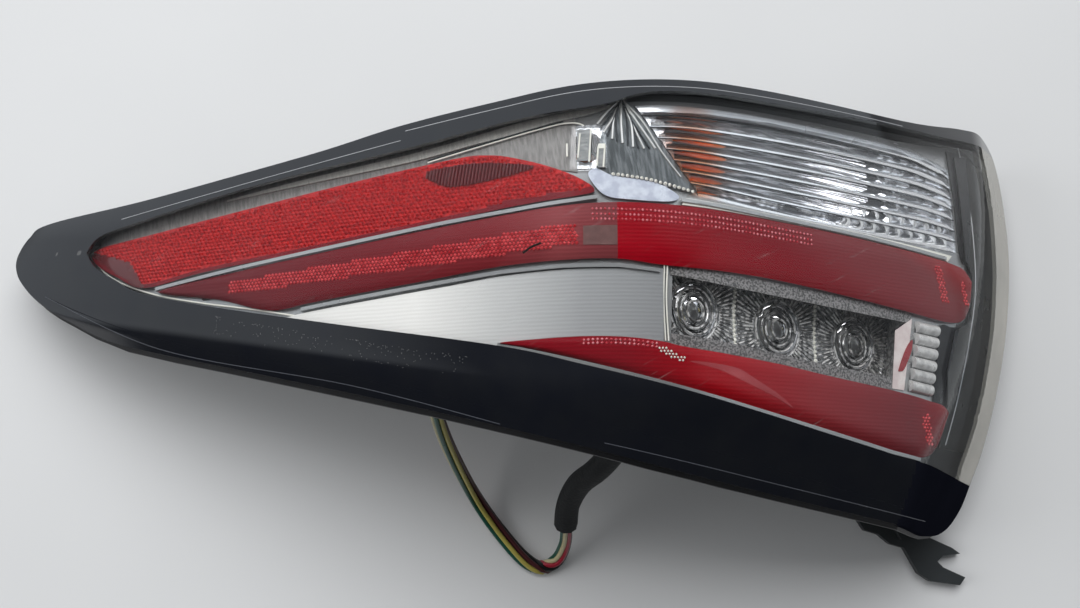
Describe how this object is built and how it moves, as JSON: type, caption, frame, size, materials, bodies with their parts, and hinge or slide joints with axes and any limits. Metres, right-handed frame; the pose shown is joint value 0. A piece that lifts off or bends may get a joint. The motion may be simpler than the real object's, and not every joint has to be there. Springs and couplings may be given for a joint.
{
  "type": "tail light cluster",
  "caption": "Left rear outer lamp of a car: clear lens in a black border over red light blades, a reflex reflector, a diode stop lamp and a fluted turn lamp.",
  "frame": {"origin": "mouth of the lower threaded insert, on the plane that the lamp rests on when it lies on its back", "axes": "+X along the lamp from its front tip to the tailgate side, +Y up on the car, +Z out of the lens"},
  "size_m": [0.5225, 0.2305, 0.171],
  "materials": {
    "clear_lens": "polished, with fine scratches",
    "gloss_black": "gloss moulding",
    "seal": "matt",
    "housing": "moulded, lightly grained",
    "foam": "closed-cell foam",
    "bright_bezel": "vacuum-metallised",
    "inner_black": "satin",
    "satin_silver": "satin silver",
    "reflex_red": "moulded prisms",
    "red_lens": "gloss",
    "clear_guide": "gloss",
    "clear_optic": "gloss, fluted",
    "circuit_board": "lacquered",
    "diode": "moulded",
    "amber_bulb": "coated glass",
    "brass_base": "turned",
    "socket": "moulded",
    "screw_steel": "zinc plated",
    "pale_plastic": "moulded nylon",
    "sleeve": "woven tape",
    "wire": "coloured insulation"
  },
  "bodies": {
    "root": {"outer_lens": "clear_lens", "black_border": "gloss_black", "lens_seal": "seal", "rear_housing": "housing", "body_gasket": "foam", "main_bezel": "bright_bezel", "end_bezel": "inner_black", "satin_panel": "satin_silver", "reflex_reflector": "reflex_red", "upper_red_lens": "red_lens", "lower_red_lens": "red_lens", "upper_light_guide": "clear_guide", "lower_light_guide": "clear_guide", "guide_board": "circuit_board", "guide_diodes": "diode", "stop_inner_lens": "clear_optic", "stop_reflector": "bright_bezel", "stop_board": "circuit_board", "stop_diodes": "diode", "board_screws": "screw_steel", "ribbed_reflector": "bright_bezel", "turn_inner_lens": "clear_optic", "turn_reflector": "bright_bezel", "turn_bulb": "amber_bulb", "turn_bulb_base": "brass_base", "turn_socket": "socket", "turn_socket_seal": "seal", "side_optic": "clear_optic", "side_bulb": "amber_bulb", "side_socket": "socket", "side_socket_seal": "seal", "vent_cap": "socket", "locating_pins": "pale_plastic", "threaded_inserts": "brass_base", "fork_bracket": "housing", "bracket_screws": "screw_steel", "wire_grommet": "seal", "wire_plug": "pale_plastic", "wire_sleeve": "sleeve", "wire_bundle": "wire"}
  },
  "joints": []
}
